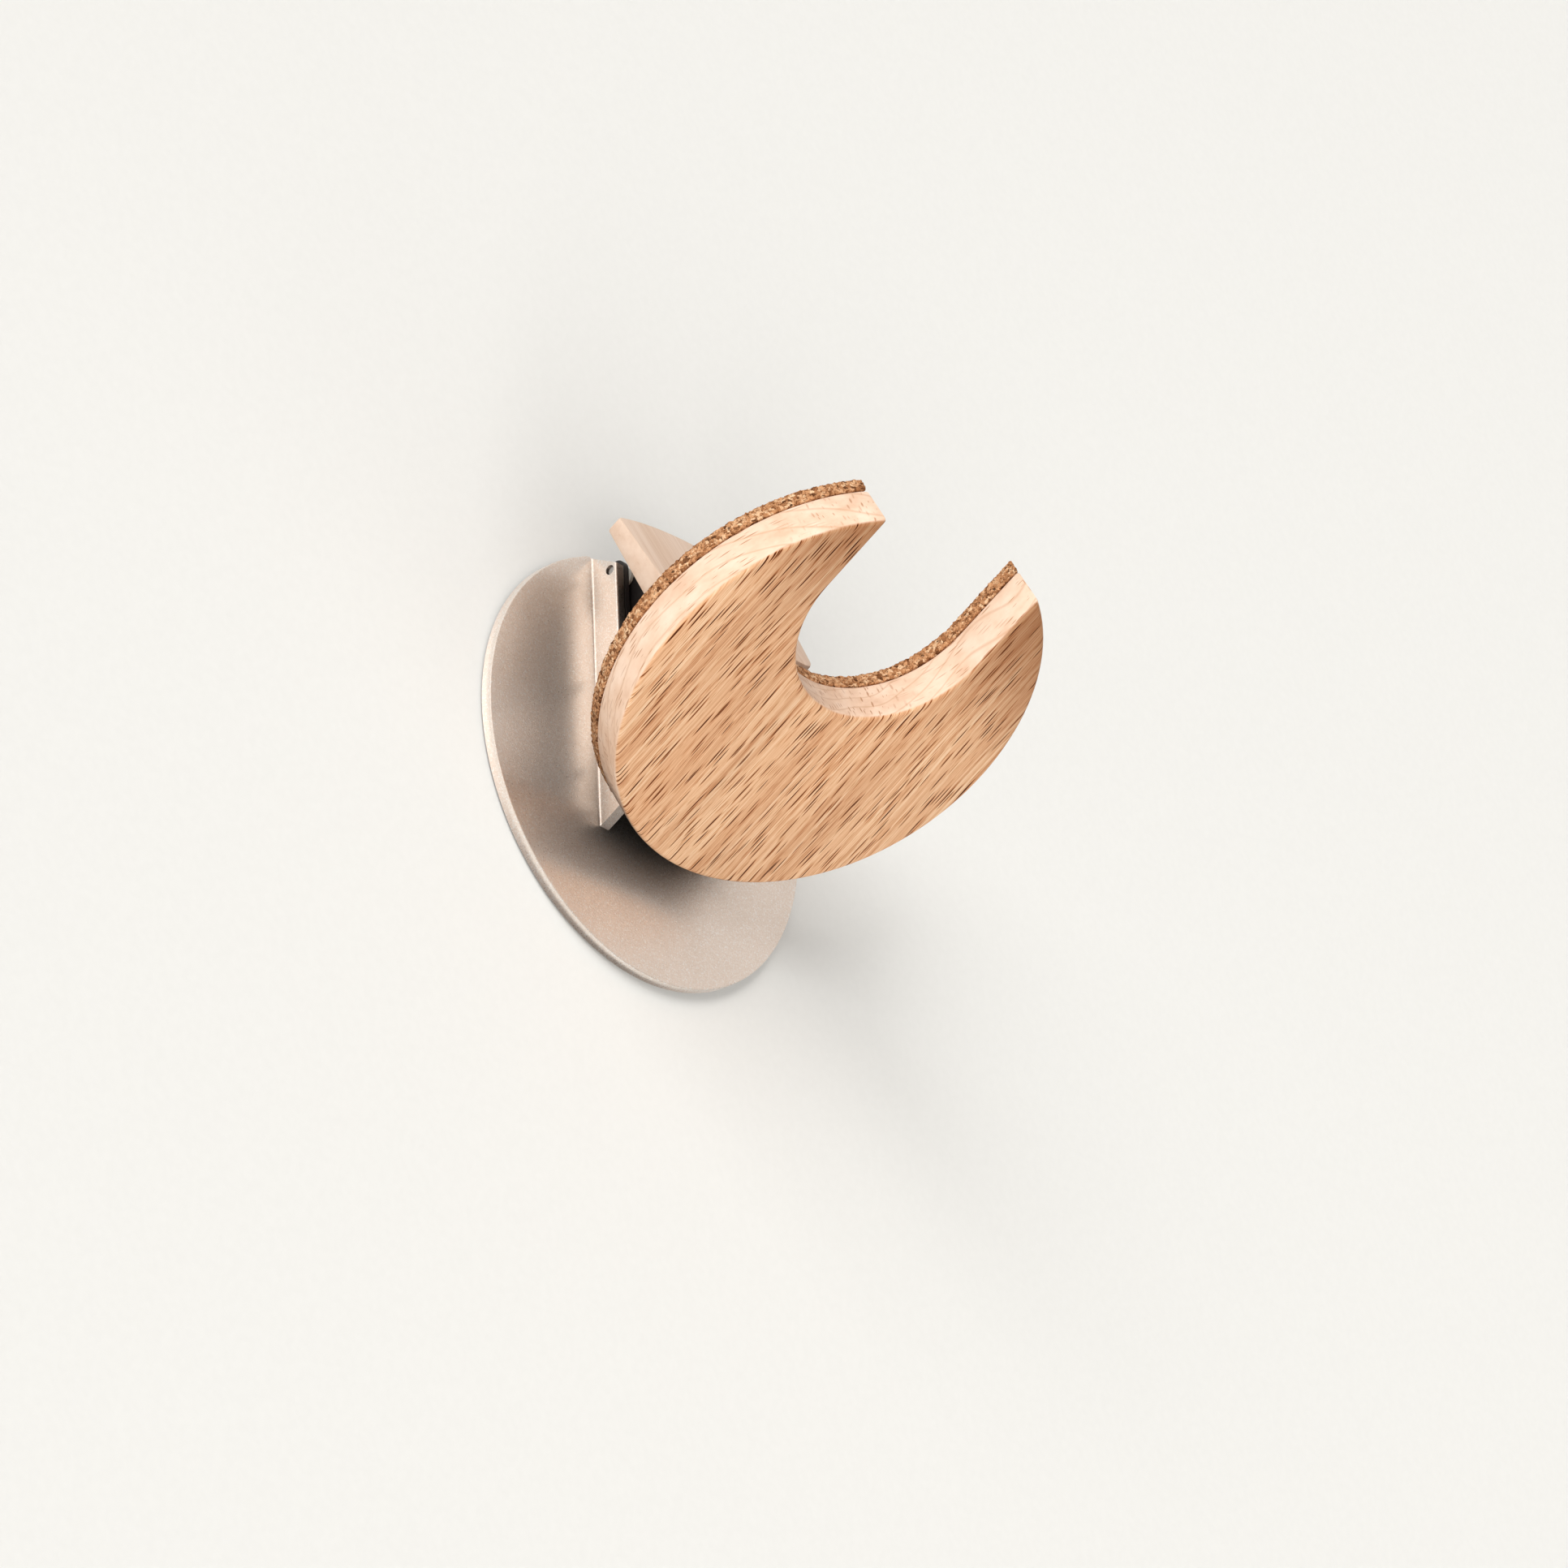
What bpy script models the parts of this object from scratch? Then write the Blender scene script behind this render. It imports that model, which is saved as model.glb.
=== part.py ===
"""Wall guitar hanger: a round aluminium wall plate with two folded-out flanges, a steel wall
bracket between them, and a hinged cradle made of an oak yoke, a cork pad and a back board.

Metres, +Z up. The wall is the plane y = 0 and the room is towards -Y. The origin is the
centre of the round plate's back, on the wall.
"""
import math

import bmesh
import bpy
from mathutils import Matrix, Vector

# Fit
GAP = 0.0003                      # clearance between neighbouring pieces
RUNNING = 0.00006                 # radial clearance between the hinge pin and its rings
ROUND_STEPS = 20                  # sides of a small turned piece
RIM_STEPS = 128                   # sides of the round plate
WELD = 0.00001                    # points this close are one
SIDES = ((-1, "left"), (1, "right"))

# Wall plate
PLATE_RADIUS = 0.055
SHEET = 0.003                     # thickness of the aluminium sheet
RIM_CHAMFER = 0.0003
FLANGE_FACE = 0.018               # half the distance over the two flanges
FLANGE_HEIGHT = 0.0108            # how far the flanges stand from the wall
BEND_RADIUS = 0.0006              # inner radius of the fold
SLOT_BOTTOM = -0.0125             # lower end of the slot between the flanges
FLANGE_TOP = 0.0513               # height of the flange's top where it leaves the sheet
FLANGE_TOP_SLOPE = math.radians(27)
FLANGE_EDGE_RADIUS = 0.0006

# Hinge
HINGE_OUT = 0.0087                # from the wall to the hinge axis
HINGE_HEIGHT = 0.046
PIN_RADIUS = 0.0012
BUSH_RADIUS = 0.0018
WASHER_RADIUS = 0.0024
PIN_INSET = 0.0006                # how far a pin's end lies inside the flange's outer face
CLIP_ENDS = (130, 410)            # the open spring clip runs between these angles

# Wall bracket, a steel channel between the flanges
CHEEK = 0.0015
WEB = 0.002
BRACKET_TOP = 0.05
BRACKET_BOTTOM = SLOT_BOTTOM + GAP
BRACKET_CORNER = 0.0025
WALL_HOLE_RADIUS = 0.0026
WALL_HOLE_HEIGHTS = (0.034, -0.006)
BRACKET_PIN_HEIGHTS = (0.018, -0.005)

# Cradle, in its own frame: x across, "out" along the yoke's face away from the wall, and
# "up" square to that face, both measured from the hinge axis
TILT = math.radians(28.1)         # rise of the yoke's face towards the room
YOKE_OUT = 0.0227                 # hinge axis to the centre of the yoke's disc
YOKE_DROP = 0.0687                # hinge axis down to the yoke's lower face
YOKE_RADIUS = 0.0548
YOKE_THICKNESS = 0.012
YOKE_ROUNDING = 0.0012
NECK_HALF_WIDTH = 0.0272          # half the width of the slot for the guitar's neck
NECK_SLOT_END = -0.0012           # bottom of the slot, from the disc's centre
CORK_THICKNESS = 0.0037
CORK_REAR = -0.0473               # its rear edge over the flanges, from the disc's centre

# Back board, heights above the yoke's lower face
BOARD_FRONT = -0.0087             # its front face, from the disc's centre
BOARD_TOP = 0.0732
BOARD_SHOULDER = 0.0674           # height of the head's two upper corners
BOARD_HEAD_LOW = 0.0365
BOARD_TOP_THICKNESS = 0.0039
BOARD_TAPER = 0.0945              # growth in thickness for each metre down
BOARD_SHOULDER_HALF = 0.0286
BOARD_LOW_HALF = 0.0250
BOARD_STEM_HALF = 0.0118
BOARD_CORNER = 0.004
BOARD_TIP_RADIUS = 0.0008
BOARD_ROUNDING = 0.0006
BOARD_BLANK = 0.02                # thickness before the sloping back is cut

# Cradle bracket, folded steel that joins board, yoke and hinge
STEEL = 0.0018
CRADLE_HALF = 0.0118              # half the width over its two cheeks
EAR_RADIUS = 0.0026
CRADLE_REAR = -0.052              # its rear end on the yoke, from the disc's centre
CRADLE_TOP = 0.0626               # its upper end on the board, above the yoke's lower face

# Fasteners
SCREW_RADIUS = 0.002
HEAD_RADIUS = 0.0036
HEAD_HEIGHT = 0.0026
SOCKET_RADIUS = 0.0015
SOCKET_DEPTH = 0.0014
INSERT_RADIUS = 0.0032
INSERT_LENGTH = 0.009
YOKE_SCREWS_X = 0.0055            # half the spacing across
YOKE_SCREWS_OUT = (-0.041, -0.027)
BOARD_SCREW_RADIUS = 0.0016
BOARD_SCREW_HEAD = 0.003
BOARD_SCREWS_UP = (0.024, 0.044)
BOARD_SCREW_BITE = 0.005
DOWEL_RADIUS = 0.002
DOWEL_X = 0.007
DOWEL_OUT = -0.0135
DOWEL_LOW = 0.006
DOWEL_HIGH = 0.022


def clear_scene():
    """Remove every object so that the script starts from nothing."""
    for item in list(bpy.data.objects):
        bpy.data.objects.remove(item, do_unlink=True)


def make_collection(name):
    """Return an empty collection linked to the scene."""
    collection = bpy.data.collections.new(name)
    bpy.context.scene.collection.children.link(collection)
    return collection


clear_scene()
PARTS = make_collection("wall_guitar_hanger")
CUTTERS = make_collection("cutters")


def material(name, color, roughness, metallic=0.0):
    """Return a plain Principled material."""
    finish = bpy.data.materials.new(name)
    finish.use_nodes = True
    shader = finish.node_tree.nodes["Principled BSDF"]
    shader.inputs["Base Color"].default_value = (*color, 1.0)
    shader.inputs["Roughness"].default_value = roughness
    shader.inputs["Metallic"].default_value = metallic
    return finish


def add_object(name, mesh, collection, parent=None, finish=None):
    """Link a mesh as an object, with its parent and its material."""
    item = bpy.data.objects.new(name, mesh)
    collection.objects.link(item)
    item.parent = parent
    if finish:
        mesh.materials.append(finish)
    return item


def mark_cutter(item):
    """Show a cutter as wires and keep it out of renders."""
    item.display_type = "WIRE"
    item.hide_render = True
    return item


def arc(center_x, center_y, radius, start, end, steps):
    """Points along an arc, its ends included; angles in degrees."""
    points = []
    for step in range(steps + 1):
        angle = math.radians(start + (end - start) * step / steps)
        points.append((center_x + radius * math.cos(angle), center_y + radius * math.sin(angle)))
    return points


def flat_mesh(name, outline, low, high):
    """Return the mesh of a flat outline between two heights along Z, each end one flat face."""
    curve = bpy.data.curves.new(name, "CURVE")
    curve.dimensions = "2D"
    curve.fill_mode = "BOTH"
    curve.extrude = (high - low) / 2
    spline = curve.splines.new("POLY")
    spline.points.add(len(outline) - 1)
    for point, (x, y) in zip(spline.points, outline):
        point.co = (x, y, 0.0, 1.0)
    spline.use_cyclic_u = True
    holder = bpy.data.objects.new(name, curve)
    bpy.context.scene.collection.objects.link(holder)
    evaluated = holder.evaluated_get(bpy.context.evaluated_depsgraph_get())
    mesh = bpy.data.meshes.new_from_object(evaluated)
    bpy.data.objects.remove(holder, do_unlink=True)
    bpy.data.curves.remove(curve)
    shell = bmesh.new()
    shell.from_mesh(mesh)
    bmesh.ops.remove_doubles(shell, verts=shell.verts, dist=WELD)
    bmesh.ops.translate(shell, verts=shell.verts, vec=(0.0, 0.0, (low + high) / 2))
    caps = [face for face in shell.faces if len({round(vert.co.z, 7) for vert in face.verts}) == 1]
    bmesh.ops.delete(shell, geom=caps, context="FACES")
    bmesh.ops.holes_fill(shell, edges=shell.edges, sides=0)
    bmesh.ops.recalc_face_normals(shell, faces=shell.faces)
    shell.to_mesh(mesh)
    shell.free()
    mesh.name = name
    return mesh


def rod_mesh(name, rods, radius, steps=ROUND_STEPS):
    """Return a mesh of straight round rods, each from one point to another."""
    shell = bmesh.new()
    for start, end in rods:
        start, end = Vector(start), Vector(end)
        turn = (end - start).to_track_quat("Z", "Y").to_matrix().to_4x4()
        place = Matrix.Translation((start + end) / 2) @ turn
        bmesh.ops.create_cone(shell, cap_ends=True, segments=steps, radius1=radius,
                              radius2=radius, depth=(end - start).length, matrix=place)
    mesh = bpy.data.meshes.new(name)
    shell.to_mesh(mesh)
    shell.free()
    return mesh


def box_mesh(name, boxes):
    """Return a mesh of boxes, each given by its lowest and its highest corner."""
    shell = bmesh.new()
    for low, high in boxes:
        low, high = Vector(low), Vector(high)
        size = Matrix.Diagonal((*(high - low), 1.0))
        place = Matrix.Translation((low + high) / 2)
        bmesh.ops.create_cube(shell, size=1.0, matrix=place @ size)
    mesh = bpy.data.meshes.new(name)
    shell.to_mesh(mesh)
    shell.free()
    return mesh


def turned_object(name, profile, collection, parent=None, finish=None):
    """Return an object turned about Z from a profile of (radius, height), outer side downwards."""
    shell = bmesh.new()
    verts = [shell.verts.new((radius, 0.0, height)) for radius, height in profile]
    for first, second in zip(verts, verts[1:]):
        shell.edges.new((first, second))
    if profile[0][0] > 0.0:
        shell.edges.new((verts[-1], verts[0]))
    mesh = bpy.data.meshes.new(name)
    shell.to_mesh(mesh)
    shell.free()
    item = add_object(name, mesh, collection, parent, finish)
    turn = item.modifiers.new("turn", "SCREW")
    turn.axis = "Z"
    turn.steps = ROUND_STEPS
    turn.render_steps = ROUND_STEPS
    turn.use_merge_vertices = True
    turn.merge_threshold = WELD
    turn.use_smooth_shade = False
    return item


def combine(item, other, operation):
    """Add a Boolean modifier that cuts, joins or intersects with another object."""
    step = item.modifiers.new(operation.lower(), "BOOLEAN")
    step.operation = operation
    step.object = other
    return step


def round_edges(item, width, segments, angle=40):
    """Bevel the sharp edges of a piece."""
    bevel = item.modifiers.new("edges", "BEVEL")
    bevel.width = width
    bevel.segments = segments
    bevel.limit_method = "ANGLE"
    bevel.angle_limit = math.radians(angle)
    return bevel


def smooth(item, angle=35):
    """Shade a piece smooth with its corners kept sharp."""
    item.data.shade_smooth()
    item.data.set_sharp_from_angle(angle=math.radians(angle))


def side_view(item):
    """Turn a flat mesh so that its outline, drawn as (distance out, height), lies in a side view
    and its thickness runs along X."""
    frame = Matrix(((0.0, 0.0, 1.0), (-1.0, 0.0, 0.0), (0.0, 1.0, 0.0)))
    item.rotation_euler = frame.to_euler()
    return item


def flange_top(out):
    """Height of the flange's sloping upper end at a distance from the wall."""
    return FLANGE_TOP - (out - SHEET) * math.tan(FLANGE_TOP_SLOPE)


def flange_bottom(out):
    """Height of the flange's lower end, which runs just above the yoke's wooden face."""
    along = YOKE_DROP - YOKE_THICKNESS - GAP
    below_hinge = along / math.cos(TILT) - (out - HINGE_OUT) * math.tan(TILT)
    return HINGE_HEIGHT - below_hinge


def flange_outline():
    """Cross-section of one folded flange as (x, distance from the wall)."""
    bend_center = FLANGE_FACE + BEND_RADIUS
    inner_face = FLANGE_FACE - SHEET
    edge = FLANGE_EDGE_RADIUS
    outline = [(bend_center + SHEET, 0.0), (bend_center + SHEET, SHEET)]
    outline += arc(bend_center, SHEET + BEND_RADIUS, BEND_RADIUS, 270, 180, 12)
    outline += arc(FLANGE_FACE - edge, FLANGE_HEIGHT - edge, edge, 0, 90, 3)
    outline += arc(inner_face + edge, FLANGE_HEIGHT - edge, edge, 90, 180, 3)
    outline += arc(bend_center, SHEET + BEND_RADIUS, BEND_RADIUS + SHEET, 180, 270, 14)
    return outline


def make_flanges(plate_finish):
    """Return a helper with both flanges, cut to their sloping ends and to the plate's rim."""
    right = flange_outline()
    left = [(-x, out) for x, out in reversed(right)]
    long_mesh = flat_mesh("flange_strips", right, -PLATE_RADIUS, PLATE_RADIUS)
    other = flat_mesh("flange_strip_left", left, -PLATE_RADIUS, PLATE_RADIUS)
    shell = bmesh.new()
    shell.from_mesh(long_mesh)
    shell.from_mesh(other)
    for vert in shell.verts:
        vert.co = Vector((vert.co.x, -vert.co.y, vert.co.z))
    bmesh.ops.reverse_faces(shell, faces=shell.faces)
    shell.to_mesh(long_mesh)
    shell.free()
    bpy.data.meshes.remove(other)
    strips = mark_cutter(add_object("flange_strips", long_mesh, CUTTERS, None, plate_finish))
    reach = FLANGE_HEIGHT + SHEET
    side = [(-SHEET, flange_bottom(-SHEET)), (reach, flange_bottom(reach)),
            (reach, flange_top(reach)), (-SHEET, flange_top(-SHEET))]
    mesh = flat_mesh("flange_side_envelope", side, -PLATE_RADIUS, PLATE_RADIUS)
    envelope = mark_cutter(side_view(add_object("flange_side_envelope", mesh, CUTTERS)))
    mesh = rod_mesh("flange_rim_envelope", [((0.0, SHEET, 0.0), (0.0, -2 * reach, 0.0))],
                    PLATE_RADIUS, RIM_STEPS)
    rim = mark_cutter(add_object("flange_rim_envelope", mesh, CUTTERS))
    combine(strips, envelope, "INTERSECT")
    combine(strips, rim, "INTERSECT")
    return strips


def make_wall_plate():
    """Round sheet with a wide slot down from its top and the slot's two sides folded to the room."""
    finish = material("blasted_aluminium", (0.62, 0.56, 0.51), 0.45, 1.0)
    strips = make_flanges(finish)
    mesh = rod_mesh("wall_plate", [((0.0, 0.0, 0.0), (0.0, -SHEET, 0.0))], PLATE_RADIUS, RIM_STEPS)
    plate = add_object("wall_plate", mesh, PARTS, None, finish)
    round_edges(plate, RIM_CHAMFER, 2)
    half = FLANGE_FACE + BEND_RADIUS
    corners = ((-half, -2 * SHEET, SLOT_BOTTOM), (half, SHEET, 2 * PLATE_RADIUS))
    slot = box_mesh("plate_slot", [corners])
    combine(plate, mark_cutter(add_object("plate_slot", slot, CUTTERS)), "DIFFERENCE")
    combine(plate, strips, "UNION")
    holes = [((-PLATE_RADIUS, -HINGE_OUT, HINGE_HEIGHT), (PLATE_RADIUS, -HINGE_OUT, HINGE_HEIGHT))]
    for height in BRACKET_PIN_HEIGHTS:
        holes.append(((-PLATE_RADIUS, -HINGE_OUT, height), (PLATE_RADIUS, -HINGE_OUT, height)))
    mesh = rod_mesh("plate_pin_holes", holes, PIN_RADIUS + RUNNING)
    combine(plate, mark_cutter(add_object("plate_pin_holes", mesh, CUTTERS)), "DIFFERENCE")
    smooth(plate)


def make_wall_bracket():
    """Steel channel that is screwed to the wall and carries the hinge between its cheeks."""
    finish = material("black_steel", (0.02, 0.02, 0.022), 0.5, 0.6)
    half = FLANGE_FACE - SHEET - GAP
    height = FLANGE_HEIGHT - GAP
    reach = height + CHEEK
    channel = [(-half, 0.0), (half, 0.0), (half, reach), (half - CHEEK, reach),
               (half - CHEEK, WEB), (CHEEK - half, WEB), (CHEEK - half, reach), (-half, reach)]
    mesh = flat_mesh("wall_bracket", channel, BRACKET_BOTTOM - CHEEK, BRACKET_TOP + CHEEK)
    shell = bmesh.new()
    shell.from_mesh(mesh)
    for vert in shell.verts:
        vert.co = Vector((vert.co.x, -vert.co.y, vert.co.z))
    bmesh.ops.reverse_faces(shell, faces=shell.faces)
    shell.to_mesh(mesh)
    shell.free()
    bracket = add_object("wall_bracket", mesh, PARTS, None, finish)
    corner = BRACKET_CORNER
    side = [(-CHEEK, BRACKET_BOTTOM), (height, BRACKET_BOTTOM)]
    side += arc(height - corner, BRACKET_TOP - corner, corner, 0, 90, 8)
    side += [(-CHEEK, BRACKET_TOP)]
    mesh = flat_mesh("bracket_side_envelope", side, -PLATE_RADIUS, PLATE_RADIUS)
    envelope = mark_cutter(side_view(add_object("bracket_side_envelope", mesh, CUTTERS)))
    combine(bracket, envelope, "INTERSECT")
    rods = [((-half * 2, -HINGE_OUT, z), (half * 2, -HINGE_OUT, z))
            for z in (HINGE_HEIGHT, *BRACKET_PIN_HEIGHTS)]
    mesh = rod_mesh("bracket_pin_holes", rods, PIN_RADIUS + RUNNING)
    combine(bracket, mark_cutter(add_object("bracket_pin_holes", mesh, CUTTERS)), "DIFFERENCE")
    rods = [((0.0, WEB, z), (0.0, -2 * WEB, z)) for z in WALL_HOLE_HEIGHTS]
    mesh = rod_mesh("bracket_wall_holes", rods, WALL_HOLE_RADIUS)
    combine(bracket, mark_cutter(add_object("bracket_wall_holes", mesh, CUTTERS)), "DIFFERENCE")
    smooth(bracket)


def make_bracket_pins():
    """Four short press-fit pins that hold the flanges to the bracket's cheeks."""
    finish = material("steel_pins", (0.55, 0.54, 0.52), 0.3, 1.0)
    inner = FLANGE_FACE - SHEET - GAP - CHEEK
    outer = FLANGE_FACE - PIN_INSET
    for level, height in zip(("upper", "lower"), BRACKET_PIN_HEIGHTS):
        for side, word in SIDES:
            name = "bracket_pin_" + level + "_" + word
            rod = ((side * inner, -HINGE_OUT, height), (side * outer, -HINGE_OUT, height))
            pin = add_object(name, rod_mesh(name, [rod], PIN_RADIUS), PARTS, None, finish)
            round_edges(pin, PIN_RADIUS / 6, 1)
            smooth(pin)


def make_hinge_pin():
    """The long pin that the cradle turns on, through both flanges."""
    finish = material("hinge_pin_steel", (0.6, 0.59, 0.57), 0.25, 1.0)
    outer = FLANGE_FACE - PIN_INSET
    rods = [((-outer, -HINGE_OUT, HINGE_HEIGHT), (outer, -HINGE_OUT, HINGE_HEIGHT))]
    pin = add_object("hinge_pin", rod_mesh("hinge_pin", rods, PIN_RADIUS), PARTS, None, finish)
    round_edges(pin, PIN_RADIUS / 6, 1)
    smooth(pin)


def ring_on_hinge(name, inner, outer, start, end, finish, parent=None):
    """Turned ring around the hinge axis between two places along X."""
    profile = [(inner, end), (outer, end), (outer, start), (inner, start)]
    ring = turned_object(name, profile, PARTS, parent, finish)
    ring.rotation_euler = (0.0, math.radians(90), 0.0)
    if parent is None:
        ring.location = (0.0, -HINGE_OUT, HINGE_HEIGHT)
    smooth(ring)
    return ring


def make_hinge_rings(cradle):
    """A bush in each cradle ear and a thrust washer outside it."""
    bronze = material("bush_bronze", (0.5, 0.3, 0.12), 0.35, 1.0)
    nylon = material("washer_nylon", (0.75, 0.73, 0.68), 0.5)
    bore = PIN_RADIUS + RUNNING
    bush_low = CRADLE_HALF - STEEL
    washer_low = CRADLE_HALF + GAP
    washer_high = FLANGE_FACE - SHEET - GAP - CHEEK - GAP
    for side, word in SIDES:
        low, high = sorted((side * bush_low, side * CRADLE_HALF))
        ring_on_hinge("hinge_bush_" + word, bore, BUSH_RADIUS, low, high, bronze, cradle)
        low, high = sorted((side * washer_low, side * washer_high))
        ring_on_hinge("thrust_washer_" + word, bore, WASHER_RADIUS, low, high, nylon)


def make_pin_clips():
    """An open spring clip on the hinge pin inside each cradle ear."""
    finish = material("spring_steel", (0.2, 0.19, 0.18), 0.35, 1.0)
    bore = PIN_RADIUS + RUNNING
    start, end = CLIP_ENDS
    outline = arc(0.0, 0.0, WASHER_RADIUS, start, end, 20)
    outline += arc(0.0, 0.0, bore, end, start, 16)
    near = CRADLE_HALF - STEEL - GAP
    far = near - STEEL / 2
    for side, word in SIDES:
        low, high = sorted((side * near, side * far))
        mesh = flat_mesh("pin_clip_" + word, outline, low, high)
        clip = side_view(add_object("pin_clip_" + word, mesh, PARTS, None, finish))
        clip.location = (0.0, -HINGE_OUT, HINGE_HEIGHT)
        smooth(clip)


def make_cradle_frame():
    """Empty on the hinge axis, tilted so that its -Y runs out along the yoke's face."""
    empty = bpy.data.objects.new("cradle_hinge", None)
    PARTS.objects.link(empty)
    empty.location = (0.0, -HINGE_OUT, HINGE_HEIGHT)
    empty.rotation_euler = (-TILT, 0.0, 0.0)
    return empty


def on_yoke(item, parent, up=0.0):
    """Place a mesh that is drawn about the disc's centre, at a height above the lower face."""
    item.parent = parent
    item.location = (0.0, -YOKE_OUT, up - YOKE_DROP)
    return item


def yoke_outline():
    """Disc with the neck slot open towards -Y, as (x, y) about the disc's centre."""
    tip = math.degrees(math.asin(NECK_HALF_WIDTH / YOKE_RADIUS))
    outline = arc(0.0, 0.0, YOKE_RADIUS, -90 + tip, 270 - tip, 108)
    bottom = -NECK_SLOT_END - NECK_HALF_WIDTH
    outline += arc(0.0, bottom, NECK_HALF_WIDTH, 180, 0, 40)
    return outline


def yoke_screw_rods(low, high):
    """The four yoke screws' axes between two heights, as rods about the disc's centre."""
    rods = []
    for out in YOKE_SCREWS_OUT:
        for side, _ in SIDES:
            x = side * YOKE_SCREWS_X
            rods.append(((x, -out, low), (x, -out, high)))
    return rods


def dowel_rod(side, slack):
    """One dowel as a rod about the disc's centre, longer by a slack at both ends."""
    x = side * DOWEL_X
    return ((x, -DOWEL_OUT, DOWEL_LOW - slack), (x, -DOWEL_OUT, DOWEL_HIGH + slack))


def make_yoke(cradle, dowel_holes):
    """Oak disc with the neck slot."""
    finish = material("oak", (0.66, 0.4, 0.22), 0.55)
    mesh = flat_mesh("yoke", yoke_outline(), 0.0, YOKE_THICKNESS)
    yoke = on_yoke(add_object("yoke", mesh, PARTS, None, finish), cradle)
    round_edges(yoke, YOKE_ROUNDING, 3, 50)
    low = YOKE_THICKNESS - INSERT_LENGTH - 2 * GAP
    rods = yoke_screw_rods(low, 2 * YOKE_THICKNESS)
    mesh = rod_mesh("insert_holes", rods, INSERT_RADIUS + GAP)
    holes = mark_cutter(on_yoke(add_object("insert_holes", mesh, CUTTERS), cradle))
    combine(yoke, holes, "DIFFERENCE")
    combine(yoke, dowel_holes, "DIFFERENCE")
    smooth(yoke)


def make_cork_pad(cradle):
    """Cork sheet on the yoke, cut away behind for the board, the bracket and the flanges."""
    finish = material("cork", (0.5, 0.27, 0.14), 0.9)
    low = YOKE_THICKNESS + GAP
    mesh = flat_mesh("cork_pad", yoke_outline(), low, low + CORK_THICKNESS)
    pad = on_yoke(add_object("cork_pad", mesh, PARTS, None, finish), cradle)
    stem = BOARD_STEM_HALF + 3 * GAP
    flange = FLANGE_FACE + 3 * GAP
    front = -BOARD_FRONT - GAP
    far = 2 * YOKE_RADIUS
    mesh = box_mesh("cork_cutout", [((-stem, front, 0.0), (stem, far, 2 * YOKE_THICKNESS))])
    cutout = mark_cutter(on_yoke(add_object("cork_cutout", mesh, CUTTERS), cradle))
    mesh = box_mesh("cork_notch", [((-flange, -CORK_REAR, 0.0), (flange, far, 2 * YOKE_THICKNESS))])
    notch = mark_cutter(on_yoke(add_object("cork_notch", mesh, CUTTERS), cradle))
    combine(pad, cutout, "DIFFERENCE")
    combine(pad, notch, "DIFFERENCE")
    smooth(pad)


def board_outline():
    """Front view of the back board: a domed head on a narrower stem, as (x, height)."""
    rise = BOARD_TOP - BOARD_SHOULDER
    tip = BOARD_TIP_RADIUS
    dome_radius = (BOARD_SHOULDER_HALF ** 2 + rise ** 2) / (2 * rise)
    span = math.degrees(math.asin((BOARD_SHOULDER_HALF - tip) / dome_radius))
    low = BOARD_HEAD_LOW
    corner = BOARD_CORNER
    foot = YOKE_THICKNESS + GAP
    right = [(BOARD_STEM_HALF, foot)]
    right += arc(BOARD_STEM_HALF + corner, low - corner, corner, 180, 90, 6)
    right += arc(BOARD_LOW_HALF - corner, low + corner, corner, 270, 360, 6)
    right += arc(BOARD_SHOULDER_HALF - tip, BOARD_SHOULDER - tip, tip, 0, 60, 3)
    dome = arc(0.0, BOARD_TOP - dome_radius, dome_radius, 90 - span, 90 + span, 24)
    left = [(-x, height) for x, height in reversed(right)]
    return right + dome + left


def board_back(up):
    """Place of the board's sloping back face at a height, from the disc's centre."""
    return BOARD_FRONT - BOARD_TOP_THICKNESS - BOARD_TAPER * (BOARD_TOP - up)


def make_back_board(cradle, dowel_holes):
    """Beech board across the cradle, square to the yoke and thinner towards its top."""
    finish = material("beech", (0.78, 0.55, 0.38), 0.55)
    mesh = flat_mesh("back_board", board_outline(), 0.0, BOARD_BLANK)
    board = add_object("back_board", mesh, PARTS, cradle, finish)
    board.rotation_euler = (math.radians(90), 0.0, 0.0)
    board.location = (0.0, -YOKE_OUT - BOARD_FRONT + BOARD_BLANK, -YOKE_DROP)
    reach = 2 * BOARD_TOP
    side = [(board_back(-reach), -reach), (board_back(reach), reach), (-reach, reach), (-reach, -reach)]
    mesh = flat_mesh("board_back_cut", side, -reach, reach)
    back = side_view(add_object("board_back_cut", mesh, CUTTERS, cradle))
    back.location = (0.0, -YOKE_OUT, -YOKE_DROP)
    combine(board, mark_cutter(back), "DIFFERENCE")
    round_edges(board, BOARD_ROUNDING, 2, 50)
    combine(board, dowel_holes, "DIFFERENCE")
    rods = board_screw_rods(-BOARD_SCREW_BITE - 2 * GAP, GAP)
    mesh = rod_mesh("board_screw_holes", rods, BOARD_SCREW_RADIUS + GAP)
    holes = mark_cutter(on_yoke(add_object("board_screw_holes", mesh, CUTTERS), cradle))
    combine(board, holes, "DIFFERENCE")
    smooth(board)


def board_screw_rods(low, high):
    """The four board screws' axes between two distances from the board's back, behind it being
    positive, as rods about the disc's centre."""
    lean = math.atan(BOARD_TAPER)
    backward = Vector((0.0, math.cos(lean), math.sin(lean)))
    rods = []
    for up in BOARD_SCREWS_UP:
        for side, _ in SIDES:
            seat = Vector((side * YOKE_SCREWS_X, -board_back(up), up))
            rods.append((seat + low * backward, seat + high * backward))
    return rods


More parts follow.
